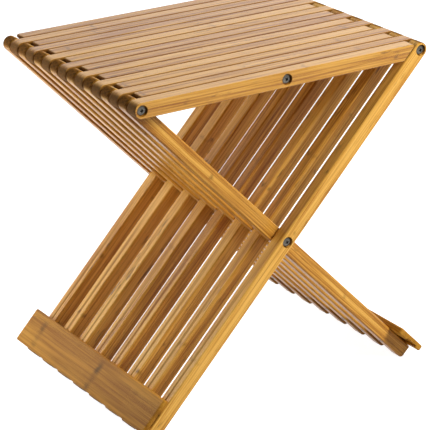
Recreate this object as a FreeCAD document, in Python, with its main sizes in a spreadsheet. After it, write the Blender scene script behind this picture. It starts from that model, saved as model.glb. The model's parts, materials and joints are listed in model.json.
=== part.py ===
import FreeCAD, Part
import math
import os
import Sketcher
from FreeCAD import Vector

# Folding slat stool in millimetres: +Z up, origin on the floor under the middle of the seat,
# X along the seat slats and Y across them, from the front layer to the rear one.
# Sixteen layers lie side by side on four rods. Even layers hold a seat slat hinged on the left
# rod and a leg slat hinged on the right rod. Odd layers are the same pair turned half round.

DIMENSIONS = {
    "rod_span": (381.5, "left hinge rod to right hinge rod"),
    "pivot_drop": (199.5, "seat rods down to the leg crossing"),
    "leg_below": (280.0, "leg crossing to the foot end, along the slat"),
    "slat_depth": (18.5, "slat section, in the plane of the fold"),
    "slat_thick": (17.4, "slat section, across the layers"),
    "slat_pitch": (19.6, "middle of one layer to middle of the next"),
    "edge_round": (2.0, "eased edges of slats and of board ends"),
    "tip_round": (2.4, "cut corners of slats"),
    "foot_round": (5.0, "foot corner that stands on the floor"),
    "mitre_gap": (2.0, "mitred seat end to the leg beside it"),
    "rod_dia": (7.0, "pivot rod"),
    "rod_hole": (7.15, "running hole for a pivot rod"),
    "tapped_dia": (4.1, "threaded hole in a rod end"),
    "tapped_depth": (13.0, "depth of the threaded hole"),
    "bore_dia": (13.2, "counterbore round a screw head"),
    "bore_depth": (3.2, "depth of the counterbore"),
    "head_dia": (10.5, "domed screw head"),
    "head_height": (2.2, "underside to crown of the head"),
    "head_rim": (0.9, "straight rim of the head"),
    "head_sink": (0.6, "crown below the slat face"),
    "screw_dia": (4.0, "screw shank in the rod"),
    "screw_len": (11.0, "shank length under the head"),
    "recess_span": (5.2, "cross recess, tip to tip"),
    "recess_slot": (1.2, "width of a cross recess arm"),
    "recess_depth": (1.3, "depth of the cross recess"),
    "board_width": (47.0, "foot board, along the leg"),
    "board_thick": (8.0, "foot board thickness"),
    "board_round": (2.4, "rounded long edges of a foot board"),
    "board_inset": (1.6, "foot end to the lower edge of the board"),
    "groove_width": (20.0, "groove along the inner face of a foot board"),
    "groove_depth": (3.0, "depth of that groove"),
    "groove_rise": (10.0, "lower edge of the board to the groove"),
    "fixing_dia": (4.0, "wood screw shank"),
    "fixing_head": (8.0, "countersunk wood screw head"),
    "fixing_point": (4.0, "pointed end of a wood screw"),
    "fixing_bite": (5.5, "wood screw depth in the foot board"),
    "fixing_drop": (8.5, "upper edge of the board to its wood screws"),
    "fixing_play": (0.1, "hole diameter over screw diameter"),
}

SLATS_PER_SET = 8
LAYERS = 2 * SLATS_PER_SET
MIDDLE_LAYER = (LAYERS - 1) / 2

# Lengths worked out from the driving dimensions, as expressions.
HALF_SPAN = "(Dims.rod_span / 2)"
HALF_DEPTH = "(Dims.slat_depth / 2)"
HALF_THICK = "(Dims.slat_thick / 2)"
HALF_WIDTH = f"(({LAYERS - 1} * Dims.slat_pitch + Dims.slat_thick) / 2)"
LEG_ABOVE = f"sqrt({HALF_SPAN} ^ 2 + Dims.pivot_drop ^ 2)"
LEG_LENGTH = f"({LEG_ABOVE} + Dims.leg_below)"
LEG_PITCH = f"atan(Dims.pivot_drop / {HALF_SPAN})"
CROSS_HEIGHT = (
    f"((Dims.leg_below - Dims.foot_round) * Dims.pivot_drop / {LEG_ABOVE}"
    f" + ({HALF_DEPTH} - Dims.foot_round) * {HALF_SPAN} / {LEG_ABOVE} + Dims.foot_round)"
)
ROD_HEIGHT = f"({CROSS_HEIGHT} + Dims.pivot_drop)"
HEAD_SEAT = f"({HALF_WIDTH} - Dims.head_sink - Dims.head_height)"
BOARD_END = f"({LEG_LENGTH} - Dims.board_inset)"
GROOVE_X = f"({BOARD_END} - Dims.groove_rise - Dims.groove_width / 2)"
FIXING_X = f"({BOARD_END} - Dims.board_width + Dims.fixing_drop)"
FIXING_CONE = "((Dims.fixing_head - Dims.fixing_dia) / 2)"
SET_RUN = f"({LAYERS - 2} * Dims.slat_pitch)"
FIRST_OF_SET = f"({MIDDLE_LAYER - 1} * Dims.slat_pitch)"

# Points of a sketch line, and the sketch's own axes.
START, END, CENTRE = 1, 2, 3
H_AXIS, V_AXIS = -1, -2
ORIGIN = (H_AXIS, START)

SAME_PLACE_MM = 0.01
LEAST_CUT_MM3 = 1.0

doc = FreeCAD.newDocument("folding_stool")
sheet = doc.addObject("Spreadsheet::Sheet", "Dims")
for row, (alias, (size, note)) in enumerate(DIMENSIONS.items(), start=1):
    sheet.set(f"A{row}", note)
    sheet.set(f"B{row}", str(size))
    sheet.setAlias(f"B{row}", alias)
doc.recompute()

NODES = []


def value(expression):
    """Number that an expression on the sheet has now."""
    found = sheet.evalExpression(expression)
    return getattr(found, "Value", found)


def new_node(label, x="0", y="0", z="0", turn=0, tilt="0"):
    """Body of one piece, turned about Z and tilted about Y at its place."""
    body = doc.addObject("PartDesign::Body", label)
    body.Label = label
    spin = f"rotationz({turn}) * rotationy({tilt})"
    body.setExpression("Placement", f"placement(vector({x}; {y}; {z}); {spin})")
    NODES.append(body)
    return body


def origin_part(body, role):
    """Origin plane or axis of a body."""
    return next(part for part in body.Origin.OriginFeatures if part.Role == role)


def new_sketch(body, name, role, lift=None):
    """Sketch on an origin plane, lifted along the plane's normal where that is given."""
    sketch = body.newObject("Sketcher::SketchObject", name)
    sketch.AttachmentSupport = [(origin_part(body, role), "")]
    sketch.MapMode = "FlatFace"
    if lift:
        sketch.setExpression("AttachmentOffset.Base.z", lift)
    return sketch


def dimension(sketch, name, expression, kind, *where):
    """Driving dimension of a sketch, tied to the sheet."""
    size = value(expression)
    if kind == "Angle":
        size = math.radians(size)
    index = sketch.addConstraint(Sketcher.Constraint(kind, *where, size))
    sketch.renameConstraint(index, name)
    sketch.setExpression(f"Constraints.{name}", expression)


def rounded_corner(before, corner, after, radius):
    """Arc of a given radius in the corner between two straight runs."""
    arm_in = (before - corner).normalize()
    arm_out = (after - corner).normalize()
    half = arm_in.getAngle(arm_out) / 2
    inward = (arm_in + arm_out).normalize()
    centre = corner + inward * (radius / math.sin(half))
    reach = radius / math.tan(half)
    return Part.Arc(corner + arm_in * reach, centre - inward * radius, corner + arm_out * reach)


def closed_loop(sketch, pieces, joint):
    """Closed outline whose pieces meet end to end, by a Tangent or a Coincident joint."""
    sketch.addGeometry(pieces)
    for index in range(len(pieces)):
        following = (index + 1) % len(pieces)
        sketch.addConstraint(Sketcher.Constraint(joint, index, END, following, START))


def straight_loop(sketch, points):
    """Closed outline of straight runs through the given points."""
    next_points = points[1:] + points[:1]
    runs = [Part.LineSegment(point, next_point) for point, next_point in zip(points, next_points)]
    closed_loop(sketch, runs, "Coincident")


def square_up(sketch, level=(), upright=()):
    """Makes the listed lines of a sketch level or upright."""
    for line in level:
        sketch.addConstraint(Sketcher.Constraint("Horizontal", line))
    for line in upright:
        sketch.addConstraint(Sketcher.Constraint("Vertical", line))


def mark_on_axis(sketch, name, reach):
    """Construction point on the sketch's level axis, at a reach from its origin."""
    mark = sketch.addGeometry(Part.Point(Vector(value(reach), 0, 0)), True)
    sketch.addConstraint(Sketcher.Constraint("PointOnObject", mark, START, H_AXIS))
    dimension(sketch, name, reach, "DistanceX", *ORIGIN, mark, START)
    return mark


def circle_on_axis(sketch, name, reach, diameter):
    """Circle on the sketch's level axis, at a reach from its origin."""
    place = Vector(value(reach), 0, 0)
    circle = sketch.addGeometry(Part.Circle(place, Vector(0, 0, 1), value(diameter) / 2))
    if value(reach) > 0:
        sketch.addConstraint(Sketcher.Constraint("PointOnObject", circle, CENTRE, H_AXIS))
        dimension(sketch, f"{name}_reach", reach, "DistanceX", *ORIGIN, circle, CENTRE)
    else:
        sketch.addConstraint(Sketcher.Constraint("Coincident", circle, CENTRE, *ORIGIN))
    dimension(sketch, f"{name}_dia", diameter, "Diameter", circle)


def pad(body, sketch, length, both_ways=True):
    """Extrusion of a sketch, even about its plane or along its normal."""
    feature = body.newObject("PartDesign::Pad", "Pad")
    feature.Profile = sketch
    feature.SideType = "Symmetric" if both_ways else "One side"
    feature.setExpression("Length", length)
    return feature


def pocket(body, sketch, depth, along_normal=False):
    """Cut of a given depth, against the sketch's normal or along it."""
    feature = body.newObject("PartDesign::Pocket", "Pocket")
    feature.Profile = sketch
    feature.Reversed = along_normal
    feature.setExpression("Length", depth)
    return feature


def row_of(body, features, length):
    """Repeats features once for every slat of a set, across the stool."""
    pattern = body.newObject("PartDesign::LinearPattern", "SlatRow")
    pattern.Originals = features
    pattern.Direction = (origin_part(body, "Y_Axis"), [""])
    pattern.setExpression("Length", length)
    pattern.Occurrences = SLATS_PER_SET
    body.Tip = pattern
    return pattern


def both_ends(body, features):
    """Repeats features at the other end of a rod."""
    pattern = body.newObject("PartDesign::PolarPattern", "BothEnds")
    pattern.Originals = features
    pattern.Axis = (origin_part(body, "Z_Axis"), [""])
    pattern.Occurrences = 2
    body.Tip = pattern
    return pattern


def ease_edges(body, base, half_thickness):
    """Rounds the outline of the two flat sides of an extrusion."""
    doc.recompute()
    side = value(half_thickness)
    names = []
    for number, edge in enumerate(base.Shape.Edges, start=1):
        places = [edge.CenterOfMass] + [vertex.Point for vertex in edge.Vertexes]
        on_side = all(abs(abs(place.y) - side) < SAME_PLACE_MM for place in places)
        if on_side and not edge.isClosed():
            names.append(f"Edge{number}")
    fillet = body.newObject("PartDesign::Fillet", "EasedEdges")
    fillet.Base = (base, names)
    fillet.setExpression("Radius", "Dims.edge_round")
    return fillet


# Pieces of a slat's outline, in order.
KNUCKLE, LOW_EDGE, LOW_CORNER, CUT_END, HIGH_CORNER, HIGH_EDGE = range(6)


def slat_outline(sketch, low_end, high_end, low_round):
    """Side outline of a slat: round knuckle at the origin, straight edges and a cut far end."""
    radius = value(HALF_DEPTH)
    knuckle_high = Vector(0, radius, 0)
    knuckle_low = Vector(0, -radius, 0)
    knuckle = Part.Arc(knuckle_high, Vector(-radius, 0, 0), knuckle_low)
    low_arc = rounded_corner(knuckle_low, low_end, high_end, value(low_round))
    high_arc = rounded_corner(low_end, high_end, knuckle_high, value("Dims.tip_round"))
    low_edge = Part.LineSegment(knuckle_low, low_arc.StartPoint)
    cut = Part.LineSegment(low_arc.EndPoint, high_arc.StartPoint)
    high_edge = Part.LineSegment(high_arc.EndPoint, knuckle_high)
    closed_loop(sketch, [knuckle, low_edge, low_arc, cut, high_arc, high_edge], "Tangent")
    square_up(sketch, level=(LOW_EDGE, HIGH_EDGE))
    sketch.addConstraint(Sketcher.Constraint("Coincident", KNUCKLE, CENTRE, *ORIGIN))
    dimension(sketch, "knuckle", HALF_DEPTH, "Radius", KNUCKLE)
    dimension(sketch, "low_corner", low_round, "Radius", LOW_CORNER)
    dimension(sketch, "high_corner", "Dims.tip_round", "Radius", HIGH_CORNER)


def seat_slat(label, x, y, turn, outermost):
    """Seat slat on its hinge rod, with a mitred end that stops against a leg slat."""
    body = new_node(label, x, y, ROD_HEIGHT, turn)
    sketch = new_sketch(body, "Outline", "XZ_Plane")
    radius = value(HALF_DEPTH)
    rise = math.radians(value(LEG_PITCH))
    cut_middle = value("Dims.rod_span") - (radius + value("Dims.mitre_gap")) / math.sin(rise)
    low_end = Vector(cut_middle - radius / math.tan(rise), -radius, 0)
    high_end = Vector(cut_middle + radius / math.tan(rise), radius, 0)
    slat_outline(sketch, low_end, high_end, "Dims.tip_round")
    far_rod = mark_on_axis(sketch, "far_rod", "Dims.rod_span")
    dimension(sketch, "mitre", LEG_PITCH, "Angle", CUT_END)
    clear = f"({HALF_DEPTH} + Dims.mitre_gap)"
    dimension(sketch, "clear", clear, "Distance", far_rod, START, CUT_END)
    circle_on_axis(sketch, "hinge", "0", "Dims.rod_hole")
    circle_on_axis(sketch, "middle", HALF_SPAN, "Dims.rod_hole")
    ease_edges(body, pad(body, sketch, "Dims.slat_thick"), HALF_THICK)
    if outermost:
        counterbores(body, HALF_SPAN, HALF_THICK, along_normal=False)


def leg_slat(label, x, y, turn, outermost):
    """Leg slat from its hinge rod through the crossing down to a rounded foot."""
    body = new_node(label, x, y, ROD_HEIGHT, turn, LEG_PITCH)
    sketch = new_sketch(body, "Outline", "XZ_Plane")
    radius = value(HALF_DEPTH)
    length = value(LEG_LENGTH)
    low_end = Vector(length, -radius, 0)
    high_end = Vector(length, radius, 0)
    slat_outline(sketch, low_end, high_end, "Dims.foot_round")
    square_up(sketch, upright=(CUT_END,))
    dimension(sketch, "length", LEG_LENGTH, "DistanceX", *ORIGIN, CUT_END, START)
    circle_on_axis(sketch, "hinge", "0", "Dims.rod_hole")
    circle_on_axis(sketch, "crossing", LEG_ABOVE, "Dims.rod_hole")
    ease_edges(body, pad(body, sketch, "Dims.slat_thick"), HALF_THICK)
    fixing_hole(body)
    if outermost:
        counterbores(body, LEG_ABOVE, f"-{HALF_THICK}", along_normal=True)


def counterbores(body, reach, lift, along_normal):
    """Recesses for two screw heads in the outer face of an end slat."""
    sketch = new_sketch(body, "Counterbores", "XZ_Plane", lift)
    circle_on_axis(sketch, "hinge", "0", "Dims.bore_dia")
    circle_on_axis(sketch, "pivot", reach, "Dims.bore_dia")
    pocket(body, sketch, "Dims.bore_depth", along_normal)


def turned_about(sketch, reach):
    """Upright construction line that a profile is turned about, at a reach from the origin."""
    place, half = value(reach), value(HALF_DEPTH)
    line = Part.LineSegment(Vector(place, -half, 0), Vector(place, half, 0))
    axis = sketch.addGeometry(line, True)
    dimension(sketch, "axis_reach", reach, "DistanceX", *ORIGIN, axis, START)
    sketch.addConstraint(Sketcher.Constraint("Symmetric", axis, START, axis, END, H_AXIS))
    dimension(sketch, "axis_length", "Dims.slat_depth", "DistanceY", axis, START, axis, END)


# Lines of half a wood screw or its hole: head, cone, shank, far end or point, and middle.
HEAD, CONE, SHANK, FAR_END, MIDDLE = range(5)


def fixing_hole(body):
    """Countersunk hole through a leg slat for the screw that holds the foot board."""
    sketch = new_sketch(body, "Countersink", "XZ_Plane")
    play = "Dims.fixing_play / 2"
    head = f"(Dims.fixing_head / 2 + {play})"
    shank = f"(Dims.fixing_dia / 2 + {play})"
    middle, low, high = value(FIXING_X), -value(HALF_DEPTH), value(HALF_DEPTH)
    cone = low + value(FIXING_CONE)
    straight_loop(sketch, [
        Vector(middle, low, 0),
        Vector(middle + value(head), low, 0),
        Vector(middle + value(shank), cone, 0),
        Vector(middle + value(shank), high, 0),
        Vector(middle, high, 0),
    ])
    square_up(sketch, level=(HEAD, FAR_END), upright=(SHANK, MIDDLE))
    turned_about(sketch, FIXING_X)
    dimension(sketch, "start", FIXING_X, "DistanceX", *ORIGIN, HEAD, START)
    dimension(sketch, "head", head, "DistanceX", HEAD, START, HEAD, END)
    dimension(sketch, "shank", shank, "DistanceX", FAR_END, END, FAR_END, START)
    dimension(sketch, "cone", FIXING_CONE, "DistanceY", CONE, START, CONE, END)
    dimension(sketch, "below", HALF_DEPTH, "DistanceY", HEAD, START, *ORIGIN)
    dimension(sketch, "above", HALF_DEPTH, "DistanceY", *ORIGIN, FAR_END, START)
    groove = body.newObject("PartDesign::Groove", "FixingHole")
    groove.Profile = sketch
    groove.ReferenceAxis = (sketch, ["Axis0"])


def foot_board(label, x, turn):
    """Board across the outer faces of one set of leg slats, just above the floor."""
    body = new_node(label, x, "0", ROD_HEIGHT, turn, LEG_PITCH)
    sketch = new_sketch(body, "Section", "XZ_Plane")
    right = value(BOARD_END)
    left = right - value("Dims.board_width")
    low = value(HALF_DEPTH)
    high = low + value("Dims.board_thick")
    corners = [Vector(left, low, 0), Vector(right, low, 0), Vector(right, high, 0), Vector(left, high, 0)]
    before, after = corners[-1:] + corners[:-1], corners[1:] + corners[:1]
    radius = value("Dims.board_round")
    arcs = [rounded_corner(*three, radius) for three in zip(before, corners, after)]
    pieces = []
    for arc, next_arc in zip(arcs, arcs[1:] + arcs[:1]):
        pieces += [arc, Part.LineSegment(arc.EndPoint, next_arc.StartPoint)]
    closed_loop(sketch, pieces, "Tangent")
    first_corner, inner, *other_pieces = range(len(pieces))
    second_corner, lower, third_corner, outer, fourth_corner, upper = other_pieces
    square_up(sketch, level=(inner, outer), upright=(lower, upper))
    dimension(sketch, "corner", "Dims.board_round", "Radius", first_corner)
    for corner in (second_corner, third_corner, fourth_corner):
        sketch.addConstraint(Sketcher.Constraint("Equal", first_corner, corner))
    dimension(sketch, "board_end", BOARD_END, "DistanceX", *ORIGIN, lower, START)
    dimension(sketch, "width", "Dims.board_width", "DistanceX", upper, START, lower, START)
    dimension(sketch, "seat", HALF_DEPTH, "DistanceY", *ORIGIN, inner, START)
    dimension(sketch, "thickness", "Dims.board_thick", "DistanceY", inner, START, outer, START)
    ease_edges(body, pad(body, sketch, f"(2 * {HALF_WIDTH})"), HALF_WIDTH)
    groove = new_sketch(body, "Groove", "XY_Plane", HALF_DEPTH)
    rectangle(groove, "Dims.groove_width", f"({LAYERS} * Dims.slat_pitch)", GROOVE_X)
    pocket(body, groove, "Dims.groove_depth", along_normal=True)
    holes = new_sketch(body, "ScrewHole", "XY_Plane", HALF_DEPTH)
    first_fixing(holes, "(Dims.fixing_dia + Dims.fixing_play)")
    hole = pocket(body, holes, "(Dims.fixing_bite + Dims.fixing_play)", along_normal=True)
    row_of(body, [hole], SET_RUN)


def first_fixing(sketch, diameter):
    """Circle where the screw of the first slat of a set meets the foot board."""
    place = Vector(value(FIXING_X), -value(FIRST_OF_SET), 0)
    circle = sketch.addGeometry(Part.Circle(place, Vector(0, 0, 1), value(diameter) / 2))
    dimension(sketch, "along", FIXING_X, "DistanceX", *ORIGIN, circle, CENTRE)
    dimension(sketch, "across", FIRST_OF_SET, "DistanceY", circle, CENTRE, *ORIGIN)
    dimension(sketch, "hole", diameter, "Diameter", circle)


def board_screws(label, x, turn):
    """Countersunk wood screws, one through each leg slat into the foot board."""
    body = new_node(label, x, "0", ROD_HEIGHT, turn, LEG_PITCH)
    sketch = new_sketch(body, "ScrewProfile", "XZ_Plane", FIRST_OF_SET)
    head = "(Dims.fixing_head / 2)"
    shank = "(Dims.fixing_dia / 2)"
    reach = f"({HALF_DEPTH} + Dims.fixing_bite)"
    middle, low, high = value(FIXING_X), -value(HALF_DEPTH), value(reach)
    cone = low + value(FIXING_CONE)
    taper = high - value("Dims.fixing_point")
    straight_loop(sketch, [
        Vector(middle, low, 0),
        Vector(middle + value(head), low, 0),
        Vector(middle + value(shank), cone, 0),
        Vector(middle + value(shank), taper, 0),
        Vector(middle, high, 0),
    ])
    square_up(sketch, level=(HEAD,), upright=(SHANK, MIDDLE))
    turned_about(sketch, FIXING_X)
    dimension(sketch, "start", FIXING_X, "DistanceX", *ORIGIN, HEAD, START)
    dimension(sketch, "head", head, "DistanceX", HEAD, START, HEAD, END)
    dimension(sketch, "shank", shank, "DistanceX", MIDDLE, START, SHANK, END)
    dimension(sketch, "cone", FIXING_CONE, "DistanceY", CONE, START, CONE, END)
    dimension(sketch, "below", HALF_DEPTH, "DistanceY", HEAD, START, *ORIGIN)
    dimension(sketch, "above", reach, "DistanceY", *ORIGIN, MIDDLE, START)
    dimension(sketch, "point", "Dims.fixing_point", "DistanceY", SHANK, END, MIDDLE, START)
    screw = body.newObject("PartDesign::Revolution", "Screw")
    screw.Profile = sketch
    screw.ReferenceAxis = (sketch, ["Axis0"])
    row_of(body, [screw], SET_RUN)


def pivot_rod(label, x, z):
    """Steel rod through every layer, with a threaded hole in each end."""
    body = new_node(label, x, "0", z)
    section = new_sketch(body, "Section", "XZ_Plane")
    circle_on_axis(section, "rod", "0", "Dims.rod_dia")
    pad(body, section, f"(2 * {HEAD_SEAT})")
    thread = new_sketch(body, "Thread", "XZ_Plane", HEAD_SEAT)
    circle_on_axis(thread, "thread", "0", "Dims.tapped_dia")
    both_ends(body, [pocket(body, thread, "Dims.tapped_depth")])


def seat_pins(label, x, turn):
    """Middle rod of the seat as it lies in one set of slats, a length to each slat."""
    body = new_node(label, x, "0", ROD_HEIGHT, turn)
    section = new_sketch(body, "Section", "XZ_Plane", HEAD_SEAT)
    circle_on_axis(section, "pin", HALF_SPAN, "Dims.rod_dia")
    inner_face = f"({HALF_WIDTH} - Dims.slat_thick)"
    pin = pad(body, section, f"({HEAD_SEAT} - {inner_face})", both_ways=False)
    pin.Reversed = True
    row_of(body, [pin], SET_RUN)
    thread = new_sketch(body, "Thread", "XZ_Plane", HEAD_SEAT)
    circle_on_axis(thread, "thread", HALF_SPAN, "Dims.tapped_dia")
    body.Tip = pocket(body, thread, "Dims.tapped_depth")


# Pieces of half a rod screw's profile, in order.
SCREW_TIP, SCREW_SHANK, UNDERSIDE, RIM, DOME, SCREW_MIDDLE = range(6)


def rod_screws(label, x, z, turn, at_both_ends):
    """Domed screws with a cross recess, sunk in the end slats and held in a rod's ends."""
    body = new_node(label, x, "0", z, turn)
    profile = new_sketch(body, "ScrewProfile", "XY_Plane")
    head, shank = value("Dims.head_dia") / 2, value("Dims.screw_dia") / 2
    seat = value(HEAD_SEAT)
    rim, crown = seat + value("Dims.head_rim"), seat + value("Dims.head_height")
    tip = seat - value("Dims.screw_len")
    rise = crown - rim
    dome_radius = (head ** 2 + rise ** 2) / (2 * rise)
    lean = math.asin(head / dome_radius) / 2
    shoulder = Vector(dome_radius * math.sin(lean), crown - dome_radius * (1 - math.cos(lean)), 0)
    closed_loop(profile, [
        Part.LineSegment(Vector(0, tip, 0), Vector(shank, tip, 0)),
        Part.LineSegment(Vector(shank, tip, 0), Vector(shank, seat, 0)),
        Part.LineSegment(Vector(shank, seat, 0), Vector(head, seat, 0)),
        Part.LineSegment(Vector(head, seat, 0), Vector(head, rim, 0)),
        Part.Arc(Vector(head, rim, 0), shoulder, Vector(0, crown, 0)),
        Part.LineSegment(Vector(0, crown, 0), Vector(0, tip, 0)),
    ], "Coincident")
    square_up(profile, level=(SCREW_TIP, UNDERSIDE), upright=(SCREW_SHANK, RIM, SCREW_MIDDLE))
    profile.addConstraint(Sketcher.Constraint("PointOnObject", SCREW_MIDDLE, START, V_AXIS))
    profile.addConstraint(Sketcher.Constraint("PointOnObject", DOME, CENTRE, SCREW_MIDDLE))
    dimension(profile, "seat", HEAD_SEAT, "DistanceY", *ORIGIN, UNDERSIDE, START)
    dimension(profile, "shank", "(Dims.screw_dia / 2)", "DistanceX", SCREW_TIP, START, SCREW_TIP, END)
    dimension(profile, "head", "(Dims.head_dia / 2)", "DistanceX", *ORIGIN, RIM, START)
    dimension(profile, "length", "Dims.screw_len", "DistanceY", SCREW_SHANK, START, SCREW_SHANK, END)
    dimension(profile, "rim", "Dims.head_rim", "DistanceY", RIM, START, RIM, END)
    dimension(profile, "height", "Dims.head_height", "DistanceY", UNDERSIDE, END, SCREW_MIDDLE, START)
    screw = body.newObject("PartDesign::Revolution", "Screw")
    screw.Profile = profile
    screw.ReferenceAxis = (profile, ["V_Axis"])
    features = [screw]
    crown_lift = f"-({HEAD_SEAT} + Dims.head_height)"
    for width, height in (("recess_span", "recess_slot"), ("recess_slot", "recess_span")):
        arm = new_sketch(body, "RecessArm", "XZ_Plane", crown_lift)
        rectangle(arm, f"Dims.{width}", f"Dims.{height}")
        features.append(pocket(body, arm, "Dims.recess_depth", along_normal=True))
    if at_both_ends:
        both_ends(body, features)


def rectangle(sketch, width, height, reach="0"):
    """Rectangle whose middle lies on the sketch's level axis, at a reach from its origin."""
    middle, x, y = value(reach), value(width) / 2, value(height) / 2
    straight_loop(sketch, [
        Vector(middle - x, -y, 0),
        Vector(middle + x, -y, 0),
        Vector(middle + x, y, 0),
        Vector(middle - x, y, 0),
    ])
    bottom, right, top, left = range(4)
    square_up(sketch, level=(bottom, top), upright=(right, left))
    centre = (mark_on_axis(sketch, "reach", reach), START) if middle > 0 else ORIGIN
    sketch.addConstraint(Sketcher.Constraint("Symmetric", bottom, START, top, START, *centre))
    dimension(sketch, "width", width, "DistanceX", bottom, START, bottom, END)
    dimension(sketch, "height", height, "DistanceY", right, START, right, END)


def layer_place(layer):
    """Middle of a layer across the stool."""
    return f"({layer - MIDDLE_LAYER} * Dims.slat_pitch)"


def check_document():
    """Stops where a feature failed, a cut took nothing or a piece is no sound solid."""
    for item in doc.Objects:
        if "Invalid" in item.State or "Error" in item.State:
            raise RuntimeError(f"{item.Name} failed: {item.State}")
        if item.TypeId in ("PartDesign::Pocket", "PartDesign::Groove"):
            if item.Shape.Volume > item.BaseFeature.Shape.Volume - LEAST_CUT_MM3:
                raise RuntimeError(f"{item.Name} cuts nothing")
    for node in NODES:
        if node.Shape.isNull() or not node.Shape.isValid() or not node.Shape.Solids:
            raise RuntimeError(f"{node.Label} is no sound solid")


LEFT, RIGHT = f"(-{HALF_SPAN})", HALF_SPAN
HALF_TURN = 180

for number in range(1, SLATS_PER_SET + 1):
    even_layer = layer_place(2 * number - 2)
    odd_layer = layer_place(2 * number - 1)
    front, rear = number == 1, number == SLATS_PER_SET
    seat_slat(f"left_seat_slat_{number}", LEFT, even_layer, 0, front)
    seat_slat(f"right_seat_slat_{number}", RIGHT, odd_layer, HALF_TURN, rear)
    leg_slat(f"left_foot_leg_{number}", RIGHT, even_layer, HALF_TURN, front)
    leg_slat(f"right_foot_leg_{number}", LEFT, odd_layer, 0, rear)

for side, hinge, turn in (("left", RIGHT, HALF_TURN), ("right", LEFT, 0)):
    foot_board(f"{side}_foot_board", hinge, turn)
    board_screws(f"{side}_board_screws", hinge, turn)

for name, x, z in (
    ("left_hinge", LEFT, ROD_HEIGHT),
    ("right_hinge", RIGHT, ROD_HEIGHT),
    ("leg_pivot", "0", CROSS_HEIGHT),
):
    pivot_rod(f"{name}_rod", x, z)
    rod_screws(f"{name}_screws", x, z, 0, at_both_ends=True)

seat_pins("left_seat_pins", LEFT, 0)
seat_pins("right_seat_pins", RIGHT, HALF_TURN)
rod_screws("seat_pivot_front_screw", "0", ROD_HEIGHT, HALF_TURN, at_both_ends=False)
rod_screws("seat_pivot_rear_screw", "0", ROD_HEIGHT, 0, at_both_ends=False)

doc.recompute()
check_document()
os.makedirs("parts", exist_ok=True)
for node in NODES:
    node.Shape.exportStep(f"parts/{node.Label}.step")
    print(f"{node.Label}: {len(node.Shape.Solids)} solids, {node.Shape.Volume:.0f} mm3")
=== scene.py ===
"""Looks of a slatted bamboo folding stool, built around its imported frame. Sizes are in millimetres."""

import json
import logging
import math
from collections.abc import Iterable, Iterator, Mapping, Sequence
from dataclasses import dataclass, field
from enum import Enum
from functools import partial
from typing import ClassVar

import bmesh
import bpy
from bmesh.types import BMesh, BMVert
from bpy.types import Material, Mesh, Node, NodeSocket, NodeTree, Object
from mathutils import Matrix, Vector


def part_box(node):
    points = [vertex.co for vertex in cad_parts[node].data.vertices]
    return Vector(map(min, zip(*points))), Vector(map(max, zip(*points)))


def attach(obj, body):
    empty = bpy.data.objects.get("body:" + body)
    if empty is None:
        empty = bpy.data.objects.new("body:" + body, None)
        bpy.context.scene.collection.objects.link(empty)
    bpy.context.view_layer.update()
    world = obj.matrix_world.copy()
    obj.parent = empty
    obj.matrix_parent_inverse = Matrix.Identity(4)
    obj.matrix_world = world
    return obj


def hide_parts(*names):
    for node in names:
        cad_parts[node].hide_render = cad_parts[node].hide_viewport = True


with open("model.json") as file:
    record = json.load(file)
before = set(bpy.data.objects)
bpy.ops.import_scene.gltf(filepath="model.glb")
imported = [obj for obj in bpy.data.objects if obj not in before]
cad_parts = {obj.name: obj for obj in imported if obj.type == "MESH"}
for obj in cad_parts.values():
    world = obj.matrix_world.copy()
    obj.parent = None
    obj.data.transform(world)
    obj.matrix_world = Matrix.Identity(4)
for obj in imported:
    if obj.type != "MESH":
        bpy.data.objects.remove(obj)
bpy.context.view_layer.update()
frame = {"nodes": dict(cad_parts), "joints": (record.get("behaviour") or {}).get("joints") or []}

LOG = logging.getLogger("folding_stool")
MM = 0.001
ROW_COUNT = 8
SHARP_ANGLE = math.radians(40)
WHITE = "FFFFFF"

# Angles in degrees, and the ways that the edges of an outline face, counted on round it.
FULL_TURN, HALF_TURN, QUARTER_TURN = 360.0, 180.0, 90.0
LEFTWARD, DOWNWARD, RIGHTWARD, UPWARD = 180.0, 270.0, 360.0, 450.0

# Attributes of the wooden meshes: place along, across and through a piece, how far the surface
# cuts across the fibres, a chance number of each slat, and how far it faces a neighbouring slat.
PLACE = "grain_place"
END_GRAIN = "end_grain"
TONE = "slat_tone"
# How far a point faces a neighbouring slat; the material paints shade there.
GAP_SHADE = "slat_gap"
# Attributes of the screws: the way that a head faces, and how deep a point lies in its recess.
FACING = "screw_facing"
RECESS = "recess_share"

# A closed loop of vertices, a point with the way that it faces, two ends of a scale, and a
# node's sockets by name.
Ring = list[BMVert]
Station = tuple[Vector, Vector]
Span = tuple[float, float]
Sockets = Mapping[str, NodeSocket]


def linear(colour: str) -> tuple[float, float, float, float]:
    """Linear colour of an sRGB hex value.

    Args:
        colour: Six hex digits.

    Returns:
        Red, green, blue and an alpha of 1.
    """
    shares = [int(colour[start:start + 2], 16) / 255 for start in (0, 2, 4)]
    light = [s / 12.92 if s <= 0.04045 else ((s + 0.055) / 1.055) ** 2.4 for s in shares]
    return (*light, 1.0)


def add_node(tree: NodeTree, kind: str, inputs: dict | None = None, **settings) -> Node:
    """Adds a node with its settings and links.

    Args:
        tree: Tree that gets the node.
        kind: Blender's name of the node type.
        inputs: Input names or numbers, each with a plain value, the socket that feeds it, or a node
            whose first output does.
        **settings: Properties of the node.

    Returns:
        The new node.
    """
    made = tree.nodes.new(kind)
    for name, value in settings.items():
        setattr(made, name, value)
    for name, value in (inputs or {}).items():
        if isinstance(value, Node):
            value = value.outputs[0]
        if isinstance(value, NodeSocket):
            tree.links.new(value, made.inputs[name])
        else:
            made.inputs[name].default_value = value
    return made


def new_material(name: str) -> tuple[Material, NodeTree]:
    """Material with an empty node tree.

    Args:
        name: Name of the material.

    Returns:
        The material and its tree.
    """
    material = bpy.data.materials.new(name)
    material.use_nodes = True
    material.node_tree.nodes.clear()
    return material, material.node_tree


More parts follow.
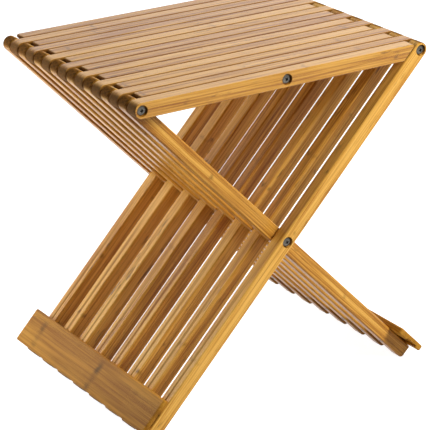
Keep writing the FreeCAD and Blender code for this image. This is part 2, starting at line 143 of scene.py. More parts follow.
@dataclass(frozen=True)
class GrainNoise:
    """Noise drawn out along the grain, with the size of its marks and the finer octaves in it."""

    length_mm: float
    width_mm: float
    detail: float = 1.0

    def draw(self, tree: NodeTree, place: NodeSocket, shift: Node) -> Node:
        """Adds the noise to a material, different in each strip of the wood.

        Args:
            tree: Tree of the material.
            place: Place in the piece, along the grain first.
            shift: Number that sets the strip's own pattern.

        Returns:
            Node that gives the noise, from 0 to 1.
        """
        along, across = 1 / (self.length_mm * MM), 1 / (self.width_mm * MM)
        drawn_out = add_node(tree, "ShaderNodeMapping", {"Vector": place, "Scale": (along, across, across)})
        return add_node(
            tree, "ShaderNodeTexNoise",
            {"Vector": drawn_out, "W": shift, "Scale": 1.0, "Detail": self.detail}, noise_dimensions="4D")


@dataclass(frozen=True)
class LacqueredBamboo:
    """Laminated bamboo under a clear satin lacquer, planed and sanded.

    The eye sees strips of differing tone with long fine fibres, a soft darker joint of the cane now
    and then, a few short dark flecks, mottled brown end grain where a cut crosses the fibres, and a
    white sheen at a flat angle. The sides that face a neighbouring slat get painted shade.
    """

    name: str
    pale: str
    middle: str
    deep: str
    end_grain: str
    # Colour of the cane's joints and flecks, also used for the painted shade between slats.
    joint: str
    ply_mm: float
    plies: int
    joint_spacing_mm: float
    # Stretch from the hinge whose sides facing a neighbouring slat get painted shade.
    gap_shade_reach_mm: float
    # Real fibres are about 0.3 mm wide; they are drawn wider so that they show.
    fibres: GrainNoise = GrainNoise(80.0, 1.5, detail=3.0)
    streaks: GrainNoise = GrainNoise(170.0, 4.5)
    flecks: GrainNoise = GrainNoise(15.0, 2.4)
    fleck_patches: GrainNoise = GrainNoise(120.0, 15.0)
    joint_patches: GrainNoise = GrainNoise(12.0, 6.0)
    mottle_mm: float = 2.0
    mottle_detail: float = 2.0
    glue_line_mm: float = 0.6
    joint_width_mm: float = 5.0
    joint_wander_mm: float = 12.0
    # Length over which that painted shade fades out.
    gap_shade_fade_mm: float = 8.0
    # Where the three colours lie on the scale of depth, and how far a strip's own tone shifts it.
    tone_stops: tuple[float, float, float] = (0.18, 0.5, 0.84)
    strip_tones: Span = (-0.17, 0.27)
    strip_shift: float = 60.0
    # How strongly each mark shows.
    contrast: float = 1.8
    streak_share: float = 0.9
    glue_share: float = 0.6
    fleck_share: float = 0.8
    joint_share: float = 0.8
    mottle_share: float = 0.55
    end_share: float = 1.0
    # Strength of the painted shade on sides that face a neighbouring slat.
    gap_shade_share: float = 0.75
    # Values of a pattern where a mark starts and where it is at its strongest.
    patch_band: Span = (0.56, 0.68)
    fleck_band: Span = (0.54, 0.68)
    joint_band: Span = (0.42, 0.7)
    mottle_band: Span = (0.35, 0.7)
    end_band: Span = (0.3, 0.85)
    # Values of facing a neighbour over which the painted shade grows.
    side_band: Span = (0.45, 0.95)
    roughness: float = 0.36
    fibre_shine: Span = (-0.06, 0.1)
    end_roughness: float = 1.0
    ior: float = 1.36
    sheen: float = 0.5
    fibre_height_mm: float = 0.12
    fibre_relief: float = 0.25

    def material(self) -> Material:
        """Makes the material.

        Returns:
            Material that reads the grain attributes of a wooden mesh.
        """
        material, tree = new_material(self.name)
        add = partial(add_node, tree)
        place = add("ShaderNodeAttribute", attribute_name=PLACE).outputs["Vector"]
        tone, end_cut, side = (
            add("ShaderNodeAttribute", attribute_name=name).outputs["Fac"] for name in (TONE, END_GRAIN, GAP_SHADE))
        axes = add("ShaderNodeSeparateXYZ", {"Vector": place}).outputs

        # Strips of wood, each with chance numbers of its own. Folded at a half, a number turns into
        # its distance from the nearest whole one.
        fold = 0.5
        height = add(
            "ShaderNodeMath", {0: axes["Z"], 1: 1 / (self.ply_mm * MM), 2: self.plies / 2},
            operation="MULTIPLY_ADD")
        ply = add("ShaderNodeMath", {0: height}, operation="FLOOR")
        ply_edge = add("ShaderNodeMath", {0: height, 1: fold}, operation="PINGPONG")
        strip_key = add("ShaderNodeCombineXYZ", {"X": ply, "Y": tone})
        strip = add("ShaderNodeTexWhiteNoise", {"Vector": strip_key}, noise_dimensions="3D").outputs
        chances = add("ShaderNodeSeparateColor", {"Color": strip["Color"]}).outputs
        shift = add("ShaderNodeMath", {0: strip["Value"], 1: self.strip_shift}, operation="MULTIPLY")
        fibres, streaks, flecks, fleck_patches, joint_patches = (
            noise.draw(tree, place, shift) for noise in (
                self.fibres, self.streaks, self.flecks, self.fleck_patches, self.joint_patches))

        # Bare wood, from pale to deep.
        palest, deepest = (shade - self.contrast / 2 for shade in self.strip_tones)
        strip_tone = add(
            "ShaderNodeMapRange", {"Value": strip["Value"], "To Min": palest, "To Max": deepest})
        grain = add(
            "ShaderNodeMath", {0: fibres, 1: self.contrast, 2: strip_tone}, operation="MULTIPLY_ADD")
        depth = add(
            "ShaderNodeMath", {0: streaks, 1: self.streak_share, 2: grain}, operation="MULTIPLY_ADD")
        wood = add("ShaderNodeValToRGB", {"Fac": depth})
        stops = wood.color_ramp.elements
        stops.new(self.tone_stops[1])
        for stop, position, colour in zip(stops, self.tone_stops, (self.pale, self.middle, self.deep)):
            stop.position, stop.color = position, linear(colour)

        # Marks on the wood: where each starts, where it is strongest, and how it grows between them.
        # A mix node's share is its input 0, its two numbers are 2 and 3, and its two colours 6 and 7.
        along = add(
            "ShaderNodeMath", {0: axes["X"], 1: 1 / (self.joint_spacing_mm * MM), 2: chances["Red"]},
            operation="MULTIPLY_ADD")
        wander = add(
            "ShaderNodeMath", {0: streaks, 1: self.joint_wander_mm / self.joint_spacing_mm, 2: along},
            operation="MULTIPLY_ADD")
        off_joint = add("ShaderNodeMath", {0: wander, 1: fold}, operation="PINGPONG")
        mottle = add(
            "ShaderNodeTexNoise",
            {"Vector": place, "Scale": 1 / (self.mottle_mm * MM), "Detail": self.mottle_detail})
        glue_line = self.glue_line_mm / self.ply_mm, 0.0
        joint_line = self.joint_width_mm / self.joint_spacing_mm, 0.0
        reach = (self.gap_shade_reach_mm + self.gap_shade_fade_mm) * MM, self.gap_shade_reach_mm * MM
        glue, in_patch, fleck, at_joint, joint_strength, mottled, at_end, beside, in_reach = (
            add("ShaderNodeMapRange",
                {"Value": value, "From Min": start, "From Max": strongest, "To Max": share},
                interpolation_type=growth)
            for value, (start, strongest), share, growth in (
                (ply_edge, glue_line, self.glue_share, "LINEAR"),
                (fleck_patches, self.patch_band, 1.0, "LINEAR"),
                (flecks, self.fleck_band, self.fleck_share, "SMOOTHSTEP"),
                (off_joint, joint_line, 1.0, "SMOOTHSTEP"),
                (joint_patches, self.joint_band, self.joint_share, "LINEAR"),
                (mottle, self.mottle_band, self.mottle_share, "LINEAR"),
                (end_cut, self.end_band, self.end_share, "SMOOTHSTEP"),
                (side, self.side_band, 1.0, "LINEAR"),
                (axes["X"], reach, self.gap_shade_share, "LINEAR")))
        fleck_mark, joint_mark, painted_gap_shade = (
            add("ShaderNodeMath", {0: first, 1: second}, operation="MULTIPLY")
            for first, second in ((in_patch, fleck), (at_joint, joint_strength), (beside, in_reach)))
        deep, dark = linear(self.deep), linear(self.joint)
        end_colour = add(
            "ShaderNodeMix", {0: mottled, 6: linear(self.end_grain), 7: deep}, data_type="RGBA").outputs[2]
        colour = wood.outputs["Color"]
        # The last mix paints shade on the sides that face a neighbouring slat, within reach of the hinge.
        for share, other in ((glue, deep), (fleck_mark, dark), (joint_mark, dark), (at_end, end_colour),
                             (painted_gap_shade, dark)):
            colour = add("ShaderNodeMix", {0: share, 6: colour, 7: other}, data_type="RGBA").outputs[2]

        # Lacquer, duller on the end grain.
        smooth, rough = (self.roughness + change for change in self.fibre_shine)
        side_shine = add("ShaderNodeMapRange", {"Value": fibres, "To Min": smooth, "To Max": rough})
        shine = add("ShaderNodeMix", {0: at_end, 2: side_shine, 3: self.end_roughness})
        relief = add("ShaderNodeBump", {
            "Strength": self.fibre_relief, "Distance": self.fibre_height_mm * MM, "Height": fibres})
        shader = add("ShaderNodeBsdfPrincipled", {
            "Base Color": colour, "Roughness": shine, "IOR": self.ior, "Specular IOR Level": self.sheen,
            "Normal": relief})
        add("ShaderNodeOutputMaterial", {"Surface": shader})
        return material


@dataclass(frozen=True)
class PlatedSteel:
    """Steel turned or drawn to shape and plated with nickel or zinc.

    The eye sees a grey metal, slightly dull, with faint wear, and painted shade in its recess.
    """

    name: str
    bright: str
    dull: str
    recess_shade: str
    roughness: float
    blotch_shine: Span = (-0.06, 0.12)
    blotch_mm: float = 2.2
    blotch_detail: float = 2.0
    scratch_mm: float = 0.35
    scratch_depth_mm: float = 0.05
    scratch_relief: float = 0.1

    def material(self) -> Material:
        """Makes the material.

        Returns:
            Metal with painted shade in its recess, where the mesh has one.
        """
        material, tree = new_material(self.name)
        add = partial(add_node, tree)
        place = add("ShaderNodeTexCoord").outputs["Object"]
        blotches = add(
            "ShaderNodeTexNoise",
            {"Vector": place, "Scale": 1 / (self.blotch_mm * MM), "Detail": self.blotch_detail})
        scratches = add("ShaderNodeTexNoise", {"Vector": place, "Scale": 1 / (self.scratch_mm * MM)})
        recess = add("ShaderNodeAttribute", attribute_name=RECESS).outputs["Fac"]
        colour = linear(self.bright)
        # Duller blotches of plate, then painted shade in the recess.
        for share, other in ((blotches, self.dull), (recess, self.recess_shade)):
            colour = add(
                "ShaderNodeMix", {0: share, 6: colour, 7: linear(other)}, data_type="RGBA").outputs[2]
        smooth, rough = (self.roughness + change for change in self.blotch_shine)
        shine = add("ShaderNodeMapRange", {"Value": blotches, "To Min": smooth, "To Max": rough})
        relief = add("ShaderNodeBump", {
            "Strength": self.scratch_relief, "Distance": self.scratch_depth_mm * MM, "Height": scratches})
        shader = add("ShaderNodeBsdfPrincipled", {
            "Base Color": colour, "Metallic": 1.0, "Roughness": shine, "Normal": relief})
        add("ShaderNodeOutputMaterial", {"Surface": shader})
        return material


SEAT_BAMBOO = LacqueredBamboo(
    "lacquered_bamboo_seat", pale="D29D44", middle="BE862E", deep="8A5216", end_grain="5E400C",
    joint="6A431A", ply_mm=6.6, plies=3, joint_spacing_mm=290, gap_shade_reach_mm=400, ior=1.4, sheen=0.6)
LEG_BAMBOO = LacqueredBamboo(
    "lacquered_bamboo_legs", pale="E6B256", middle="D0963C", deep="9C601E", end_grain="53370C",
    joint="5F3B15", ply_mm=6.6, plies=3, joint_spacing_mm=270, gap_shade_reach_mm=9,
    roughness=0.32, sheen=0.28)
BOARD_BAMBOO = LacqueredBamboo(
    "lacquered_bamboo_boards", pale="CC983C", middle="BA822A", deep="8E5A18", end_grain="7A5525",
    joint="50350F", ply_mm=12.0, plies=1, joint_spacing_mm=140, gap_shade_reach_mm=0,
    streaks=GrainNoise(170.0, 9.0), joint_patches=GrainNoise(24.0, 12.0), joint_width_mm=9.0,
    end_share=0.2, fleck_share=0.15, contrast=1.0, ior=1.3, sheen=0.15)
SCREW_PLATE = PlatedSteel(
    "nickel_plated_screws", bright="78746C", dull="47433D", recess_shade="141210", roughness=0.36)
ROD_PLATE = PlatedSteel(
    "zinc_plated_rods", bright="B4B6B8", dull="8C8F92", recess_shade="404040", roughness=0.34)


def direction(angle: float) -> Vector:
    """Unit vector of a plane at an angle in degrees."""
    return Vector((math.cos(math.radians(angle)), math.sin(math.radians(angle))))


def circle(steps: int, radius: float) -> list[Vector]:
    """Points of a plane, in even steps round a circle."""
    return [direction(FULL_TURN * step / steps) * radius for step in range(steps)]


@dataclass(frozen=True)
class Bend:
    """Round stretch of an outline: an arc about a centre, from one facing angle to another."""

    centre: Vector
    radius: float
    facing_from: float
    facing_to: float
    steps: int = 5

    @classmethod
    def at_corner(cls, corner: Vector, radius: float, facing_from: float, facing_to: float) -> "Bend":
        """Bend that rounds a corner.

        Args:
            corner: Where the two straight edges would meet.
            radius: Radius of the rounding.
            facing_from: Angle that the edge before the corner faces.
            facing_to: Angle that the edge after it faces.

        Returns:
            The bend.
        """
        before, after = direction(facing_from), direction(facing_to)
        centre = corner - (before + after) * (radius / (1 + before.dot(after)))
        return cls(centre, radius, facing_from, facing_to)

    def stations(self) -> list[Station]:
        """Points of the bend, each with the direction that it faces.

        Returns:
            Stations from the bend's start to its end.
        """
        turn = (self.facing_to - self.facing_from) / self.steps
        facings = [direction(self.facing_from + turn * step) for step in range(self.steps + 1)]
        return [(self.centre + facing * self.radius, facing) for facing in facings]


@dataclass(frozen=True)
class Corner:
    """Sharp corner of an outline. A facing of no length keeps it in place at the bar's sides."""

    point: Vector
    facing: Vector

    def stations(self) -> list[Station]:
        """The corner's point, with the direction that it faces."""
        return [(self.point, self.facing)]


def new_ring(mesh: BMesh, points: Iterable[Vector]) -> Ring:
    """Vertices at the given points."""
    return [mesh.verts.new(point) for point in points]


def sides(loop: Sequence[BMVert]) -> Iterator[tuple[BMVert, BMVert]]:
    """Neighbouring vertices, once round a closed loop."""
    return zip(loop, [*loop[1:], loop[0]])


def bridge(mesh: BMesh, first: Ring, second: Ring, skip: Sequence[int] = ()) -> None:
    """Joins two closed rings of the same length with faces.

    Args:
        mesh: Mesh that holds the rings.
        first: One ring.
        second: The other ring.
        skip: Steps round the ring that stay open.
    """
    for index, (near, far) in enumerate(zip(sides(first), sides(second))):
        if index not in skip:
            mesh.faces.new((*near, *reversed(far)))


def loft(mesh: BMesh, rings: Sequence[Ring]) -> None:
    """Joins each closed ring with the next."""
    for first, second in zip(rings, rings[1:]):
        bridge(mesh, first, second)


def fill(mesh: BMesh, *loops: Sequence[BMVert]) -> None:
    """Fills the flat area between an outer loop and the holes in it.

    Args:
        mesh: Mesh that holds the loops.
        *loops: The outer loop and the holes.
    """
    pairs = [pair for loop in loops for pair in sides(loop)]
    edges = [mesh.edges.get(pair) or mesh.edges.new(pair) for pair in pairs]
    bmesh.ops.triangle_fill(mesh, use_beauty=True, use_dissolve=False, edges=edges)


@dataclass(frozen=True)
class EasedBar:
    """Bar that runs across the stool with a constant outline and eased edges at its two flat sides."""

    bends: tuple[Bend | Corner, ...]
    half_width: float
    edge_round: float
    edge_steps: int = 4
    hold: float = 0.25

    def levels(self) -> list[Span]:
        """Works out where the rings of the bar lie.

        Returns:
            Places across the bar, each with how far the outline is drawn in there.
        """
        flat = self.half_width - self.edge_round
        far = [(flat - self.hold, 0.0)]
        for step in range(self.edge_steps + 1):
            across, inward = direction(QUARTER_TURN * step / self.edge_steps).yx * self.edge_round
            far.append((flat + across, self.edge_round - inward))
        far.append((self.half_width, self.edge_round + self.hold))
        return [(-place, inset) for place, inset in reversed(far)] + far

    def rings(self, mesh: BMesh) -> list[Ring]:
        """Adds the bar's vertices to a mesh.

        Args:
            mesh: Mesh of the piece.

        Returns:
            Rings from the near side to the far one.
        """
        outline = [station for bend in self.bends for station in bend.stations()]
        made = []
        for place, inset in self.levels():
            points = [point - facing * inset for point, facing in outline]
            made.append(new_ring(mesh, [Vector((point.x, place, point.y)) for point in points]))
        return made


class Mouth(Enum):
    """Which flat side of an end slat holds the recesses for screw heads."""

    NONE = 0
    NEAR = -1
    FAR = 1


@dataclass(frozen=True)
class PivotBore:
    """Round hole across a slat for a rod, wider at one mouth where a screw head lies in it."""

    reach: float
    rod_hole: float = 7.15
    recess: float = 13.2
    recess_depth: float = 3.2
    rim: float = 0.35
    steps: int = 28

    def rings(self, mesh: BMesh, half_width: float, mouth: Mouth) -> list[Ring]:
        """Adds the walls of the hole to a mesh.

        Args:
            mesh: Mesh of the slat.
            half_width: Half the slat's width.
            mouth: Side with the wide recess.

        Returns:
            Rings from the near side to the far one.
        """
        hole, wide = self.rod_hole / 2, self.recess / 2
        lip, floor = half_width - self.rim, half_width - self.recess_depth
        plain = [(hole + self.rim, half_width), (hole, lip)]
        recessed = [(wide + self.rim, half_width), (wide, lip), (wide, floor), (hole, floor)]
        near = [(radius, -place) for radius, place in (recessed if mouth is Mouth.NEAR else plain)]
        far = recessed if mouth is Mouth.FAR else plain
        made = [new_ring(mesh, [Vector((self.reach + p.x, place, p.y)) for p in circle(self.steps, radius)])
                for radius, place in near + far[::-1]]
        loft(mesh, made)
        return made


@dataclass(frozen=True)
class FixingBore:
    """Countersunk hole through a leg slat, from its inner edge to the foot board on its outer one."""

    reach: float
    head: float = 8.1
    shank: float = 4.1
    steps: int = 24

    def rings(self, mesh: BMesh, half_depth: float) -> list[Ring]:
        """Adds the walls of the hole to a mesh.

        Args:
            mesh: Mesh of the slat.
            half_depth: Half the slat's depth.

        Returns:
            Rings from the slat's inner edge to its outer one.
        """
        head, shank = self.head / 2, self.shank / 2
        levels = (head, -half_depth), (shank, head - shank - half_depth), (shank, half_depth)
        made = [new_ring(mesh, [Vector((self.reach + p.x, p.y, level)) for p in circle(self.steps, radius)])
                for radius, level in levels]
        loft(mesh, made)
        return made


def finish_mesh(built: BMesh, name: str) -> Mesh:
    """Turns a built shape into a mesh in metres with outward faces and crisp edges.

    Args:
        built: Shape in millimetres. It is freed.
        name: Name of the mesh.

    Returns:
        The mesh.
    """
    bmesh.ops.recalc_face_normals(built, faces=built.faces[:])
    for face in built.faces:
        face.smooth = True
    built.transform(Matrix.Scale(MM, 4))
    mesh = bpy.data.meshes.new(name)
    built.to_mesh(mesh)
    built.free()
    mesh.set_sharp_from_angle(angle=SHARP_ANGLE)
    return mesh


def note(mesh: Mesh, name: str, values: Sequence[float]) -> None:
    """Stores a number for each point of a mesh."""
    mesh.attributes.new(name, "FLOAT", "POINT").data.foreach_set("value", values)


def note_grain(mesh: Mesh, along: Vector, middle: Vector) -> None:
    """Stores where each point lies in the wood, and how far its surface cuts across the fibres.

    Args:
        mesh: Mesh in its own frame, in metres, with its plies one above the other.
        along: Direction of the fibres.
        middle: Point that the places are counted from.
    """
    through = Vector((0, 0, 1))
    axes = along, through.cross(along), through
    places = [(vertex.co - middle).dot(axis) for vertex in mesh.vertices for axis in axes]
    mesh.attributes.new(PLACE, "FLOAT_VECTOR", "POINT").data.foreach_set("vector", places)
    note(mesh, END_GRAIN, [abs(vertex.normal.dot(along)) for vertex in mesh.vertices])


def show(mesh: Mesh, name: str) -> Object:
    """Puts a mesh in the scene, at the origin.

    Args:
        mesh: The mesh.
        name: Name of its object.

    Returns:
        The object.
    """
    shown = bpy.data.objects.new(name, mesh)
    bpy.context.scene.collection.objects.link(shown)
    return shown


def dress(piece: Object, body: str, nodes: Iterable[str]) -> None:
    """Ties a finished piece to the frame.

    Args:
        piece: Piece in its place.
        body: Body that it moves with.
        nodes: Nodes that it stands for.
    """
    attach(piece, body)
    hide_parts(*nodes)
    LOG.info("%s on %s: %d faces", piece.name, body, len(piece.data.polygons))


def add_tree(name: str, inputs: dict[str, str]) -> tuple[NodeTree, Sockets]:
    """Geometry tree with named inputs and a mesh as its output.

    Args:
        name: Name of the tree.
        inputs: Names of its inputs, each with its socket type.

    Returns:
        The tree, and its inputs by name.
    """
    tree = bpy.data.node_groups.new(name, "GeometryNodeTree")
    for label, kind in inputs.items():
        tree.interface.new_socket(label, in_out="INPUT", socket_type=kind)
    tree.interface.new_socket("Mesh", in_out="OUTPUT", socket_type="NodeSocketGeometry")
    return tree, add_node(tree, "NodeGroupInput").outputs


def close_tree(tree: NodeTree, given: Sockets, placed: Node) -> None:
    """Ends a geometry tree by turning its instances into one real mesh in the given finish.

    Args:
        tree: Tree to end.
        given: Its inputs by name.
        placed: Node with the instances.
    """
    whole = add_node(tree, "GeometryNodeRealizeInstances", {"Geometry": placed})
    finished = add_node(
        tree, "GeometryNodeSetMaterial", {"Geometry": whole, "Material": given["Finish"]})
    add_node(tree, "NodeGroupOutput", {0: finished})


def apply_tree(piece: Object, tree: NodeTree, values: dict) -> None:
    """Runs a geometry tree on a piece and keeps what it makes as the piece's plain mesh.

    Args:
        piece: Object that gets the mesh.
        tree: Tree that makes it.
        values: Names of the tree's inputs with their values.
    """
    modifier = piece.modifiers.new(tree.name, "NODES")
    modifier.node_group = tree
    sockets = {item.name: item.identifier for item in tree.interface.items_tree if item.in_out == "INPUT"}
    for label, value in values.items():
        modifier[sockets[label]] = value
    graph = bpy.context.evaluated_depsgraph_get()
    made = bpy.data.meshes.new_from_object(
        piece.evaluated_get(graph), preserve_all_data_layers=True, depsgraph=graph)
    piece.modifiers.clear()
    piece.data = made
    made.name = piece.name


def slat_row_tree() -> NodeTree:
    """Tree that sets out a row of slats across the stool, one of them an end slat.

    Returns:
        The tree.
    """
    tree, given = add_tree("slat_row", {
        "Slat": "NodeSocketObject", "End Slat": "NodeSocketObject", "End Number": "NodeSocketInt",
        "Count": "NodeSocketInt", "First Place": "NodeSocketVector", "Step": "NodeSocketVector",
        "Seed": "NodeSocketInt", "Finish": "NodeSocketMaterial"})
    add = partial(add_node, tree)
    line = add("GeometryNodeMeshLine", {
        "Count": given["Count"], "Start Location": given["First Place"],
        "Offset": given["Step"]}, mode="OFFSET")
    number = add("GeometryNodeInputIndex")
    chance = add("FunctionNodeRandomValue", {"ID": number, "Seed": given["Seed"]}, data_type="FLOAT")
    toned = add(
        "GeometryNodeStoreNamedAttribute", {"Geometry": line, "Name": TONE, "Value": chance.outputs[1]},
        data_type="FLOAT", domain="POINT")
    at_end = add(
        "FunctionNodeCompare", {2: number, 3: given["End Number"]}, data_type="INT",
        operation="EQUAL")
    between = add("FunctionNodeBooleanMath", {0: at_end}, operation="NOT")
    row = add("GeometryNodeJoinGeometry")
    for label, chosen in (("Slat", between), ("End Slat", at_end)):
        shape = add("GeometryNodeObjectInfo", {"Object": given[label], "As Instance": True})
        placed = add("GeometryNodeInstanceOnPoints", {
            "Points": toned, "Selection": chosen, "Instance": shape.outputs["Geometry"]})
        tree.links.new(placed.outputs[0], row.inputs[0])
    close_tree(tree, given, row)
    return tree


def screw_set_tree() -> NodeTree:
    """Tree that puts a screw on every point, facing the way that the point says, at a chance turn.

    Returns:
        The tree.
    """
    tree, given = add_tree("screw_set", {
        "Places": "NodeSocketGeometry", "Screw": "NodeSocketObject", "Seed": "NodeSocketInt",
        "Finish": "NodeSocketMaterial"})
    add = partial(add_node, tree)
    facing = add("GeometryNodeInputNamedAttribute", {"Name": FACING}, data_type="FLOAT_VECTOR")
    upright = add("FunctionNodeAlignRotationToVector", {"Vector": facing}, axis="Z")
    chance = add(
        "FunctionNodeRandomValue", {3: math.tau, "Seed": given["Seed"]}, data_type="FLOAT")
    spin = add("FunctionNodeAxisAngleToRotation", {"Axis": (0, 0, 1), "Angle": chance.outputs[1]})
    turned = add(
        "FunctionNodeRotateRotation", {"Rotation": upright, "Rotate By": spin}, rotation_space="LOCAL")
    shape = add("GeometryNodeObjectInfo", {"Object": given["Screw"], "As Instance": True})
    placed = add("GeometryNodeInstanceOnPoints", {
        "Points": given["Places"], "Instance": shape.outputs["Geometry"], "Rotation": turned})
    close_tree(tree, given, placed)
    return tree


def joint_place(name: str) -> Vector:
    """Place of one of the frame's joints, in metres."""
    return next(Vector(joint["pos_m"]) for joint in frame["joints"] if joint["name"] == name)


def row_nodes(node: str) -> list[str]:
    """Names of the CAD nodes in a row of slats."""
    return [f"{node}_{number}" for number in range(1, ROW_COUNT + 1)]


def middle_of(node: str) -> Vector:
    """Middle of a CAD node's box, in metres."""
    return sum(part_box(node), Vector()) / 2


class Hinge(Enum):
    """Rod that a set of slats hangs on, with the turn of the set about the vertical."""

    LEFT = ("left_seat_hinge", 0.0)
    RIGHT = ("right_seat_hinge", HALF_TURN)

    @property
    def place(self) -> Vector:
        """Middle of the rod, in metres."""
        return joint_place(self.value[0])

    def stance(self, tilt: float) -> Matrix:
        """Turn of a piece that hangs on the rod at an angle below the level, in degrees."""
        turn = Matrix.Rotation(math.radians(self.value[1]), 4, "Z")
        return turn @ Matrix.Rotation(math.radians(tilt), 4, "Y")


@dataclass
class StoolSizes:
    """Sizes that the wooden pieces share, in millimetres. The last ones follow from the frame."""

    edge_round: float = 2.0
    seat_edge_round: float = 0.9
    tip_round: float = 2.4
    foot_round: float = 5.0
    mitre_gap: float = 2.0
    leg_below: float = 280.0
    board_width: float = 47.0
    board_thick: float = 8.0
    board_round: float = 2.4
    board_inset: float = 1.6
    groove_width: float = 20.0
    groove_depth: float = 3.0
    groove_rise: float = 10.0
    fixing_drop: float = 8.5
    knuckle_steps: int = 20
    half_depth: float = field(init=False)
    slat_thick: float = field(init=False)
    half_span: float = field(init=False)
    leg_above: float = field(init=False)
    leg_pitch: float = field(init=False)
    leg_length: float = field(init=False)
    board_end: float = field(init=False)
    board_span: float = field(init=False)
    fixing_reach: float = field(init=False)

    def __post_init__(self) -> None:
        """Works out the sizes that the frame gives."""
        low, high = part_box("left_seat_slat_1")
        self.half_depth = (high.z - low.z) / MM / 2
        self.slat_thick = (high.y - low.y) / MM
        rise = (Hinge.RIGHT.place - joint_place("leg_fold")) / MM
        self.half_span = rise.x
        self.leg_above = math.hypot(rise.x, rise.z)
        self.leg_pitch = math.degrees(math.atan2(rise.z, rise.x))
        self.leg_length = self.leg_above + self.leg_below
        self.board_end = self.leg_length - self.board_inset
        low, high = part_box("left_foot_board")
        self.board_span = (high.y - low.y) / MM
        self.fixing_reach = self.board_end - self.board_width + self.fixing_drop

    def knuckle(self) -> Bend:
        """Round end of a slat about its hinge rod."""
        return Bend(Vector((0, 0)), self.half_depth, UPWARD - FULL_TURN, DOWNWARD, self.knuckle_steps)


@dataclass
class SlatSet:
    """Row of slats that move together: the seat slats or the leg slats on one hinge rod."""

    # Material slot of the record, and the outer side of the end slat in the slat's own frame.
    slot: ClassVar[str]
    recess_side: ClassVar[Mouth]

    name: str
    body: str
    node: str
    hinge: Hinge
    sizes: StoolSizes
    finish: Material
    end_number: int
    seed: int

    @property
    def tilt(self) -> float:
        """Angle of the slats below the level, in degrees."""
        return 0.0

    @property
    def edge_round(self) -> float:
        """Radius of the eased long edges."""
        return self.sizes.edge_round

    def bends(self) -> tuple[Bend, ...]:
        """Outline of a slat."""
        raise NotImplementedError

    def bores(self) -> tuple[PivotBore, ...]:
        """Holes for the rods."""
        raise NotImplementedError

    def fixing(self) -> FixingBore | None:
        """Hole for a foot board's screw, where the slat has one."""
        return None

    def slat(self, mouth: Mouth) -> Mesh:
        """Builds one slat about its hinge, at the angle that it stands.

        Args:
            mouth: Side with recesses for screw heads.

        Returns:
            Mesh with its grain noted.
        """
        built = bmesh.new()
        bar = EasedBar(self.bends(), self.sizes.slat_thick / 2, self.edge_round)
        rings = bar.rings(built)
        fixing = self.fixing()
        middle = len(rings) // 2
        low_run, high_run = self.sizes.knuckle_steps, len(rings[0]) - 1
        for number in range(1, len(rings)):
            pierced = (low_run, high_run) if fixing and number == middle else ()
            bridge(built, rings[number - 1], rings[number], pierced)
        if fixing:
            near, far = rings[middle - 1], rings[middle]
            walls = fixing.rings(built, self.sizes.half_depth)
            for run, wall in ((low_run, walls[0]), (high_run, walls[-1])):
                following = (run + 1) % len(near)
                fill(built, [near[run], near[following], far[following], far[run]], wall)
        holes = [bore.rings(built, bar.half_width, mouth) for bore in self.bores()]
        for end in (0, -1):
            fill(built, rings[end], *(hole[end] for hole in holes))
        mesh = finish_mesh(built, f"{self.name}_slat")
        note_grain(mesh, Vector((1, 0, 0)), Vector())
        # How far each point faces a neighbouring slat, where the material paints shade; the end slat's outer
        # side gets none.
        inner = [side for side in (-1, 1) if side != mouth.value]
        note(mesh, GAP_SHADE, [max(0.0, *(vertex.normal.y * side for side in inner)) for vertex in mesh.vertices])
        mesh.transform(self.hinge.stance(self.tilt))
        return mesh

    def build(self, tree: NodeTree) -> None:
        """Sets out the row and ties it to the frame.

        Args:
            tree: Tree that makes a row of slats.
        """
        plain = show(self.slat(Mouth.NONE), f"{self.name}_plain")
        end = show(self.slat(self.recess_side), f"{self.name}_end")
        nodes = row_nodes(self.node)
        first, last = middle_of(nodes[0]).y, middle_of(nodes[-1]).y
        start = Vector((self.hinge.place.x, first, self.hinge.place.z))
        row = show(bpy.data.meshes.new(self.name), self.name)
        apply_tree(row, tree, {
            "Slat": plain, "End Slat": end, "End Number": self.end_number, "Count": ROW_COUNT,
            "First Place": start, "Step": Vector((0, (last - first) / (ROW_COUNT - 1), 0)),
            "Seed": self.seed, "Finish": self.finish})
        for source in (plain, end):
            bpy.data.objects.remove(source)
        dress(row, self.body, nodes)


@dataclass
class SeatSlats(SlatSet):
    """Level slats, crisper at their edges than the legs, whose mitred ends stop against the other legs."""

    slot: ClassVar[str] = "bamboo_seat"
    recess_side: ClassVar[Mouth] = Mouth.NEAR

    @property
    def edge_round(self) -> float:
        """Radius of the eased long edges."""
        return self.sizes.seat_edge_round

    def bends(self) -> tuple[Bend, ...]:
        """Outline of a slat.

        Returns:
            Knuckle, and a far end cut along the leg beside it.
        """
        sizes = self.sizes
        depth, pitch = sizes.half_depth, math.radians(sizes.leg_pitch)
        cut = 2 * sizes.half_span - (depth + sizes.mitre_gap) / math.sin(pitch)
        lean = depth / math.tan(pitch)
        cut_facing = DOWNWARD + sizes.leg_pitch
        return (
            sizes.knuckle(),
            Bend.at_corner(Vector((cut - lean, -depth)), sizes.tip_round, DOWNWARD, cut_facing),
            Bend.at_corner(Vector((cut + lean, depth)), sizes.tip_round, cut_facing, UPWARD),
        )

    def bores(self) -> tuple[PivotBore, ...]:
        """Holes for the hinge rod and the middle rod."""
        return PivotBore(0.0), PivotBore(self.sizes.half_span)


